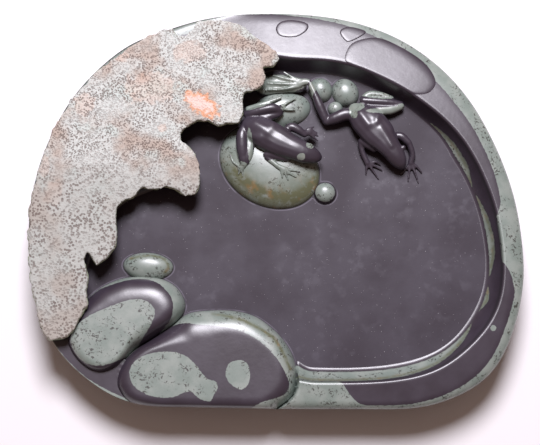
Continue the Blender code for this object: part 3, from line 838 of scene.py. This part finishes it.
for node in RIM_PEBBLES:
    rings, out = rim_pebble_rings(node)
    points = rings.reshape(-1, 3)
    # The cut line round each pebble is painted dark: painted shade in the cut, with some ink.
    cut_line = np.repeat(out > 0.985, rings.shape[1]) * 0.9
    marks = {"green": np.full(len(points), -8.0), "ochre": 0 * cut_line, "groove": cut_line}
    piece(node + "_relief", points, net(rings), polished_stone, marks, node)

# %% [markdown]
# # The lotus leaf
# The leaf is the slab's natural crust, left rough: a pale skin full of small dark pits, stained orange where
# iron came through, over the green layer that shows along the torn edge. Its CAD solid has the right outline,
# so it is remeshed finely, its edge is frayed with noise and its top is made gently uneven. Pits smaller than
# the mesh are left to the material.

# %% Leaf shape
from mathutils import noise

LEAF_VOXEL = 0.8


def evaluated_copy(source, name, steps):
    """A new object with the source's mesh after modifiers, given as (type, settings) pairs."""
    made = bpy.data.objects.new(name, source.data.copy())
    bpy.context.scene.collection.objects.link(made)
    for kind, settings in steps:
        modifier = made.modifiers.new(kind.lower(), kind)
        for setting, value in settings.items():
            setattr(modifier, setting, value)
    graph = bpy.context.evaluated_depsgraph_get()
    made.data = bpy.data.meshes.new_from_object(made.evaluated_get(graph))
    made.modifiers.clear()
    for attribute in [a.name for a in made.data.attributes if a.name.startswith("COLOR")]:
        made.data.attributes.remove(made.data.attributes[attribute])
    return made


def get_points(made):
    found = np.empty(len(made.data.vertices) * 3, np.float32)
    made.data.vertices.foreach_get("co", found)
    return found.reshape(-1, 3).astype(float) / MM


def set_points(made, points):
    made.data.vertices.foreach_set("co", (points * MM).astype(np.float32).ravel())
    made.data.update()


def wander(points, size, seed):
    """Three smooth noises from -1 to 1 at every point, with lumps of about size millimetres."""
    shift = Vector((seed * 17.3, seed * 5.1, seed * 9.7))
    return np.array([noise.noise_vector(Vector(p) / size + shift) for p in points])


leaf = evaluated_copy(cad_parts["lotus_leaf"], "leaf_of_rind",
                      [("REMESH", {"mode": "VOXEL", "voxel_size": LEAF_VOXEL * MM}),
                       ("SMOOTH", {"factor": 0.5, "iterations": 5})])  # fmt: skip
points = get_points(leaf)
LEAF_LOW, LEAF_TOP = points[:, 2].min(), points[:, 2].max()
broad, middling, fine = wander(points, 13, 1), wander(points, 4.0, 2), wander(points, 1.7, 3)
points[:, :2] += 0.75 * middling[:, :2] + 0.45 * fine[:, :2]
turn, reach = polar(points)
outer = np.clip((reach - at(SIDE, turn) + 4) / 4, 0, 1) * np.exp(-(((np.degrees(turn) - 160) / 62) ** 8))
points[:, :2] *= (1 + 1.3 * outer / reach)[:, None]
share_up = (points[:, 2] - LEAF_LOW) / (LEAF_TOP - LEAF_LOW)
depth = LEAF_TOP - points[:, 2]
points[:, 2] += share_up * (0.45 * broad[:, 2] + 0.22 * middling[:, 2] + 0.10 * fine[:, 2] - 0.2)
set_points(leaf, points)

# %% [markdown]
# # The rind
# Close up the crust is a net: pale grains with dark brown pits round them. Cells of a Voronoi texture give
# the grains, and the walls between them, broken up with noise, give the pits. They are coarser near the
# front. Stains are soft ovals with frayed edges.

# %% Rind
RIND_PALE = tint(200, 204, 199)
RIND_PINK = tint(180, 166, 154)
RIND_GREEN = tint(194, 205, 199)
RIND_PIT = tint(100, 84, 78)
STAIN = tint(224, 152, 106)
STAIN_HEART = tint(226, 204, 196)
FAINT_STAINS = [(-46, 82, 9, 6), (-101, 53, 6, 6), (-116, 5, 5, 7), (-59.5, 40, 2.5, 2.5), (-82, 79, 4, 3),
                (-121, 20, 3, 6), (-66, 62, 14, 9)]  # fmt: skip


def spot(places, x, y, half_x, half_y, turn=0, fray=0.35):
    """1 inside an oval on the plan and 0 outside, with an uneven edge; sizes in millimetres."""
    inside = places.node("ShaderNodeMapping", {"vector_type": "TEXTURE"},
                         {"Vector": places, "Location": (x * MM, y * MM, LEAF_TOP * MM),
                          "Rotation": (0, 0, math.radians(turn)),
                          "Scale": (half_x * MM, half_y * MM, 1)})  # fmt: skip
    far = places.node("ShaderNodeVectorMath", {"operation": "LENGTH"}, {0: inside}, output=1)
    return (far + (places.grain(3.2, 3) - 0.5) * fray * 2).ramp(1.15, 0.75)


def pits_of(places, size, patchy):
    """Small many-sided pits between pale walls, about size millimetres apart, missing here and there."""
    cells = places.node("ShaderNodeTexVoronoi", {"feature": "F1"},
                        {"Vector": places, "Scale": 1 / (size * MM), "Randomness": 0.9})  # fmt: skip
    return cells.ramp(0.56, 0.36) * places.grain(size * 2.6, 2).ramp(patchy, patchy + 0.16)


def rind(places):
    tone = places.grain(24, 4)
    skin = mix(places, RIND_PALE, RIND_PINK, tone.ramp(0.42, 0.60))
    skin = mix(places, skin, RIND_GREEN, places.grain(17, 3).ramp(0.52, 0.66) * 0.8)
    skin = mix(places, skin, tint(158, 143, 136), places.grain(0.8, 2).ramp(0.45, 0.70) * 0.5)
    for x, y, half_x, half_y in FAINT_STAINS:
        skin = mix(places, skin, STAIN, spot(places, x, y, half_x, half_y, fray=0.8) * 0.17)
    coarse = places.node("ShaderNodeSeparateXYZ", None, {"Vector": places}, output=1).ramp(0.030, 0.005)
    skin = mix(places, skin, tint(160, 160, 154), coarse * 0.6)
    pits = pits_of(places, 0.95, 0.30) * (1 - coarse) + pits_of(places, 1.35, 0.32) * coarse
    clear = places.grain(11, 3).ramp(0.36, 0.58)
    skin = mix(places, skin, RIND_PIT, pits * (clear * 0.56 + 0.20))
    stain = spot(places, -38.8, 53, 11, 5.6, -32, fray=0.8)
    skin = mix(places, skin, STAIN, stain * 0.75)
    heart = spot(places, -40, 53.5, 7.4, 3.6, -28, fray=1.1)
    skin = mix(places, skin, STAIN_HEART, heart * 0.8)
    below = places.mark("below")
    skin = mix(places, skin, tint(188, 198, 172), below.ramp(0.75, 1.3))
    skin = mix(places, skin, tint(72, 82, 62), below.ramp(1.5, 2.6))
    return {
        "Base Color": skin,
        "Roughness": 0.78 - stain * 0.1,
        "Specular IOR Level": 0.35,
        "Normal": relief(places, places.grain(1.0, 4) - pits * 0.8 + places.grain(4, 2), 0.22),
    }


leaf_rind = finish("leaf_rind", rind)
settle(leaf, leaf_rind, {"below": depth}, "lotus_leaf")

# %% [markdown]
# # The frogs
# A carved frog is a few smooth swellings that run into each other: a wedge of head and back, spindle-shaped
# thighs and arms, and thin toes. Each limb is a chain of flattened balls along a smooth curve. The balls are
# fused by a fine voxel remesh and smoothed, as a carver would round off the cuts. Then fine marks are cut
# and ridges are raised by moving the points near a few lines.

# %% Modelling with chains of balls
FROG_VOXEL = 0.45


def ball(around=14, levels=9):
    """Points and faces of a ball of radius 1."""
    up = np.linspace(-math.pi / 2, math.pi / 2, levels)[:, None]
    turn = (np.arange(around) * 2 * math.pi / around)[None, :]
    x, y = np.cos(up) * np.cos(turn), np.cos(up) * np.sin(turn)
    return np.stack([x, y, np.sin(up) + 0 * turn], 2).reshape(-1, 3), net(np.zeros((levels, around, 3)))


BALL_POINTS, BALL_FACES = ball()


def ground_height(plan):
    """Height of the floor or of the boulder that stands at a point of the plan."""
    return np.max([np.where(stone.inward(plan) > 0, stone.height(plan), FLOOR) for stone in boulders.values()], 0)


def fused(name, chains, smoothing):
    """Flattened balls along each chain of (x, y, z, half width, half height) stations, as one mesh."""
    stations = np.concatenate([curve_through(chain, 8, closed=False) for chain in chains])
    stations[:, 2] = np.maximum(stations[:, 2], ground_height(stations[:, :2]) + 0.25 * stations[:, 4])
    size = stations[:, [3, 3, 4]]
    points = (BALL_POINTS[None] * size[:, None] + stations[:, None, :3]).reshape(-1, 3) * MM
    faces = [tuple(corner + k * len(BALL_POINTS) for corner in face) for k in range(len(size)) for face in BALL_FACES]
    mesh = bpy.data.meshes.new(name)
    mesh.from_pydata(points.tolist(), [], faces)
    rough = bpy.data.objects.new(name + "_rough", mesh)
    bpy.context.scene.collection.objects.link(rough)
    made = evaluated_copy(rough, name, [("REMESH", {"mode": "VOXEL", "voxel_size": FROG_VOXEL * MM}),
                                        ("SMOOTH", {"factor": 0.5, "iterations": smoothing})])  # fmt: skip
    bpy.data.objects.remove(rough)
    return made


def ridge(points, normals, line, width, height):
    """Points moved out along their normals near a line; a negative height cuts a groove."""
    near = np.exp(-((near_line(points, line) / width) ** 2))
    return points + normals * (near * height)[:, None]


def normals_of(made):
    found = np.empty(len(made.data.vertices) * 3, np.float32)
    made.data.vertices.foreach_get("normal", found)
    return found.reshape(-1, 3).astype(float)


def toe(start, *rest):
    """A thin toe from a wide root to a blunt tip, given as (x, y, z) points."""
    path = [start, *rest]
    widths = np.linspace(0.95, 0.55, len(path))
    return [(x, y, z, width, width * 0.9) for (x, y, z), width in zip(path, widths)]


# %% Left frog
LEFT_FROG = [
    [(-14.5, 43.5, 27.2, 4.5, 3.6), (-10, 41.2, 28.2, 7, 4.6), (-4.5, 37.8, 29.0, 8.5, 5.2), (1, 34.6, 29.6, 8.2, 5.0),
     (6, 32.0, 29.9, 7.0, 4.6), (11, 29.8, 30.0, 6.2, 4.3), (15.5, 28.0, 29.6, 5.7, 3.8), (19.5, 26.6, 28.8, 4.4, 3.0),
     (22.2, 26.0, 28.0, 2.6, 2.0)],
    [(-17.0, 41.8, 28.0, 2.4, 2.3), (-17.9, 37, 28.6, 3.1, 2.9), (-17.7, 31, 28.2, 3.2, 2.8), (-17.0, 26, 27.2, 2.8, 2.3),
     (-16.5, 22.4, 26.0, 1.7, 1.4)],
    [(-14.2, 41.0, 26.6, 2.6, 2.4), (-13.6, 34, 27.0, 2.6, 2.4), (-14.2, 28, 26.6, 2.5, 2.0), (-15.6, 23.4, 25.6, 1.8, 1.3)],
    [(-16.5, 22.0, 25.6, 1.5, 1.2), (-18.6, 20.2, 24.8, 1.7, 1.0)],
    toe((-18.4, 20.4, 24.8), (-19.6, 17.2, 24.0)), toe((-17.6, 20.2, 24.8), (-17.2, 16.6, 24.2)),
    toe((-19.4, 21.6, 24.6), (-22.4, 24.0, 24.0), (-24.0, 27.6, 24.4)),
    [(-15.5, 49.6, 27.2, 1.9, 1.9), (-11.5, 50.4, 28.4, 2.5, 2.4), (-6, 51.6, 29.2, 2.8, 2.7), (-1.5, 52.4, 29.2, 2.8, 2.6),
     (2.2, 51.6, 28.2, 2.1, 2.0)],
    [(-12, 46.2, 27.2, 2.2, 2.2), (-5.5, 47.6, 28.0, 2.4, 2.3), (0.5, 49.4, 27.8, 2.2, 2.0), (2.6, 50.6, 27.6, 1.8, 1.6)],
    [(-14.5, 52.8, 26.2, 1.7, 1.6), (-8, 54.8, 27.0, 1.6, 1.4), (-3, 56.6, 27.2, 1.3, 1.1), (2.8, 59.0, 27.0, 0.8, 0.7)],
    [(1.8, 53.0, 27.6, 1.5, 1.3), (4.0, 54.2, 27.4, 1.3, 1.0)],
    toe((3.6, 54.2, 27.3), (7, 56.4, 27.2), (11, 58.9, 26.2)), toe((3.4, 53.0, 27.3), (7, 52.2, 27.2), (10.6, 52.4, 26.8)),
    [(-5.4, 27.2, 27.2, 1.4, 1.4), (-2.6, 27.1, 28.0, 2.1, 1.9), (1.4, 26.2, 28.3, 2.2, 2.0), (5.4, 25.2, 27.8, 1.7, 1.7),
     (9, 26.4, 27.4, 1.5, 1.5)],
    [(-4.6, 25.8, 26.8, 1.5, 1.3), (-1.5, 23.2, 26.8, 1.4, 1.2), (1.5, 20.9, 26.7, 1.5, 1.1), (4.4, 19.4, 26.4, 1.8, 1.0)],
    toe((4.2, 19.2, 26.4), (5.6, 16.4, 26.0), (6.7, 13.8, 25.3)), toe((5.0, 18.8, 26.4), (8, 17.0, 26.0), (10.9, 15.4, 25.3)),
    toe((5.4, 19.8, 26.4), (9, 19.0, 26.1), (12.7, 18.2, 25.6)), toe((3.0, 19.2, 26.4), (3.4, 17.0, 26.0), (3.6, 14.8, 25.6)),
    [(5.2, 40.6, 27.6, 1.9, 1.8), (8.4, 42.4, 28.0, 2.5, 2.2), (12, 40.9, 27.8, 2.4, 2.1), (15.4, 38.4, 27.2, 1.6, 1.5)],
    [(15.2, 39.2, 27.2, 1.7, 1.3), (17.6, 39.8, 26.6, 2.0, 1.1)],
    toe((18.4, 41.5, 26.6), (22.1, 39.8, 25.7)), toe((18.3, 38.8, 26.6), (22.6, 35.6, 25.4)),
    toe((17.2, 41.5, 26.8), (20.5, 43.0, 26.2)), toe((18.4, 40.0, 26.6), (22.8, 38.0, 25.5)),
    [(18.2, 31.2, 30.7, 1.7, 1.5), (17.6, 30.8, 30.4, 1.7, 1.4)],
    [(13.5, 25.3, 30.6, 1.7, 1.5), (13.9, 25.8, 30.2, 1.7, 1.4)],
]  # fmt: skip
LEFT_RIDGES = [([(-10.5, 43.2, 32.0), (-7, 40.6, 33.4), (-4.2, 38.4, 34.0)], 2.3, 0.6),
               ([(-1.2, 43.2, 32.4), (-1.6, 41.4, 33.2)], 2.2, 0.5),
               ([(-12.0, 36.4, 31.0), (-8.4, 35.2, 33.0)], 1.8, 0.5),
               ([(22.8, 28.6, 27.4), (24.0, 26.0, 27.0), (22.0, 23.4, 27.2), (17, 22.6, 27.6), (12, 24, 28.0)], 0.5, -0.35)]
LEFT_GREEN = [(-18.8, 19.0, 5.2, 4.6, 0), (-13.3, 31, 1.5, 9.5, 4), (3.6, 18.8, 9.6, 4.8, -20), (-6.5, 55.8, 11, 2.6, 20),
              (8, 57, 5.6, 2.8, 34), (7.4, 52.2, 4.4, 1.5, 2), (18.2, 31.4, 2.1, 1.9, 0), (13.5, 25.1, 2.1, 1.7, 0),
              (-22.6, 25, 2.2, 4, -30)]  # fmt: skip

# %% Right frog
RIGHT_FROG = [
    [(42.8, 52.2, 24.4, 4.6, 3.8), (46.5, 48.5, 25.4, 7.4, 4.7), (50.5, 44.5, 26.2, 9.0, 5.1), (54.5, 40, 26.6, 8.8, 4.9),
     (57.5, 36, 26.8, 7.2, 4.5), (60.5, 32, 27.0, 6.0, 4.1), (63.2, 28.2, 26.7, 5.5, 3.8), (65.4, 24.6, 26.0, 4.3, 3.2),
     (66.8, 22.2, 25.1, 2.6, 2.2)],
    [(42.4, 50.0, 24.8, 3.2, 3.0), (37.5, 50.2, 25.2, 3.5, 3.1), (32.0, 48.2, 24.9, 3.2, 2.8), (27.6, 46.4, 24.2, 2.1, 2.0)],
    [(27.4, 46.4, 24.3, 2.1, 2.0), (25.8, 50, 25.0, 2.5, 2.3), (23.5, 55.2, 25.9, 2.5, 2.2), (21.3, 60.6, 26.6, 2.0, 1.8),
     (18.4, 67.0, 27.2, 1.4, 1.3)],
    [(18.2, 67.6, 27.2, 1.4, 1.2), (15.6, 67.8, 27.2, 1.9, 1.3), (13.0, 66.8, 27.0, 1.9, 1.2)],
    toe((14.6, 68.4, 27.2), (10, 69.8, 27.2), (4.7, 73.2, 26.8)), toe((13.2, 67.4, 27.2), (6, 69.4, 27.0), (-1.0, 71.6, 26.4)),
    toe((12.6, 66.4, 27.1), (4.7, 66.6, 27.0), (-4.0, 67.2, 26.2)), toe((12.6, 65.4, 27.0), (4.2, 63.8, 26.8), (-6.6, 63.6, 25.8)),
    [(13, 66.6, 24.4, 4.0, 2.6), (6, 67.4, 24.2, 5.0, 2.4), (-1, 67.4, 23.6, 5.4, 2.4), (-6, 66, 22.6, 4.6, 2.2)],
    [(46.0, 53.4, 23.8, 2.8, 2.6), (53.9, 53.0, 24.0, 3.0, 2.7), (61.1, 53.2, 23.8, 2.9, 2.5), (67.0, 55.2, 23.4, 2.3, 2.1)],
    [(67.2, 56.2, 23.4, 1.9, 1.9), (61, 57.0, 24.4, 2.2, 2.1), (54, 57.4, 24.9, 2.2, 2.1), (47.4, 58.0, 24.7, 2.1, 2.0)],
    [(46.6, 59.2, 23.8, 1.5, 1.4), (50.7, 61.7, 23.7, 2.0, 1.5), (56.5, 61.3, 23.5, 2.0, 1.4), (62.4, 59.6, 23.2, 1.5, 1.2)],
    [(52.6, 31.4, 24.4, 1.9, 1.9), (49.6, 33.6, 24.5, 2.4, 2.2), (45.8, 35.8, 23.8, 1.7, 1.7)],
    [(45.4, 35.0, 23.2, 1.5, 1.5), (46.6, 30, 22.4, 1.5, 1.4), (49.0, 24.6, 21.6, 1.6, 1.2)],
    toe((49.0, 24.2, 21.4), (48.6, 21.4, 21.0), (48.3, 18.4, 20.6)), toe((49.6, 24.0, 21.4), (52, 20.4, 21.0), (55.0, 15.8, 20.5)),
    toe((50.0, 24.2, 21.4), (53.4, 22.6, 21.0), (56.8, 20.6, 20.6)), toe((50.0, 24.6, 21.4), (53.6, 25.0, 21.2), (56.0, 23.6, 20.8)),
    [(63.6, 38.8, 23.8, 2.0, 2.0), (67.4, 38.2, 24.2, 2.3, 2.1), (71.0, 35.0, 23.8, 1.9, 1.8)],
    [(71.6, 34.2, 23.6, 1.7, 1.6), (73.2, 29, 22.4, 1.7, 1.5), (72.3, 24.6, 21.6, 1.7, 1.2)],
    toe((71.6, 24.0, 21.4), (69.6, 21.2, 21.0), (67.0, 18.6, 20.6)), toe((72.0, 23.8, 21.4), (71.4, 19.6, 21.0), (70.8, 14.6, 20.5)),
    toe((72.8, 23.8, 21.4), (74.6, 19.0, 21.0), (76.2, 13.8, 20.5)), toe((73.2, 24.2, 21.4), (75.8, 22.2, 21.0), (78.2, 19.2, 20.6)),
    [(59.6, 27.0, 28.4, 1.4, 1.2), (60.2, 27.6, 28.2, 1.4, 1.2)],
    [(67.8, 31.2, 28.2, 1.4, 1.2), (67.2, 30.8, 28.0, 1.4, 1.2)],
]  # fmt: skip
RIGHT_RIDGES = [([(45.2, 49.4, 29.4), (47.4, 46.0, 30.6), (49.4, 43.0, 31.2)], 1.9, 0.7),
                ([(54.6, 48.2, 30.4), (53.6, 44.6, 31.0)], 1.9, 0.7),
                ([(56.0, 41.0, 31.0), (59.0, 36.0, 31.0), (61.5, 31.5, 30.8)], 1.4, 0.4),
                ([(62.4, 22.2, 25.4), (66.6, 19.8, 24.4), (70.2, 22.8, 25.0), (71.4, 27.4, 25.6)], 0.5, -0.3)]
RIGHT_GREEN = [(3.5, 67.8, 15, 6.4, 6), (19.4, 63.6, 2.2, 7, -25), (43.4, 53.6, 4.4, 2.8, 20), (41.4, 50.2, 2.0, 3.2, 20),
               (59.5, 52.2, 11, 1.9, 8), (54.5, 61.6, 10, 2.8, -6), (67.6, 53.6, 3.0, 2.6, 0), (70.2, 40.2, 3.2, 1.2, -40)]

# %% Frogs
SEAT = FLOOR - 0.3
for name, node, chains, ridges, greens in (
    ("frog_on_boulder", "frog_left", LEFT_FROG, LEFT_RIDGES, LEFT_GREEN),
    ("frog_reaching_back", "frog_right", RIGHT_FROG, RIGHT_RIDGES, RIGHT_GREEN),
):
    frog = fused(name, chains, smoothing=4)
    points = get_points(frog)
    normals = normals_of(frog)
    for line, width, height in ridges:
        points = ridge(points, normals, np.array(line), width, height)
    points[:, 2] = np.maximum(points[:, 2], SEAT)
    set_points(frog, points)
    green = np.max([patch(points, *oval) for oval in greens], 0)
    # Painted shade: dark where the frog meets the floor.
    groove = np.exp(-np.clip(points[:, 2] - FLOOR, 0, None) / 0.5) * 0.6
    settle(frog, polished_stone, {"green": green, "ochre": 0 * green + 0.15, "groove": groove}, node)

# %% [markdown]
# # Table
# The stone lies on a plain pale table, which takes its soft shadow.

# %% Table
def table_top(places):
    return {"Base Color": (0.86, 0.84, 0.85, 1), "Roughness": 0.9, "Specular IOR Level": 0.1}


TABLE_HALF = 4.0
corners = [(-TABLE_HALF, -TABLE_HALF, 0), (TABLE_HALF, -TABLE_HALF, 0), (TABLE_HALF, TABLE_HALF, 0),
           (-TABLE_HALF, TABLE_HALF, 0)]  # fmt: skip
table_mesh = bpy.data.meshes.new("table")
table_mesh.from_pydata(corners, [], [(0, 1, 2, 3)])
table_mesh.materials.append(finish("pale_table", table_top))
table = bpy.data.objects.new("table", table_mesh)
bpy.context.scene.collection.objects.link(table)
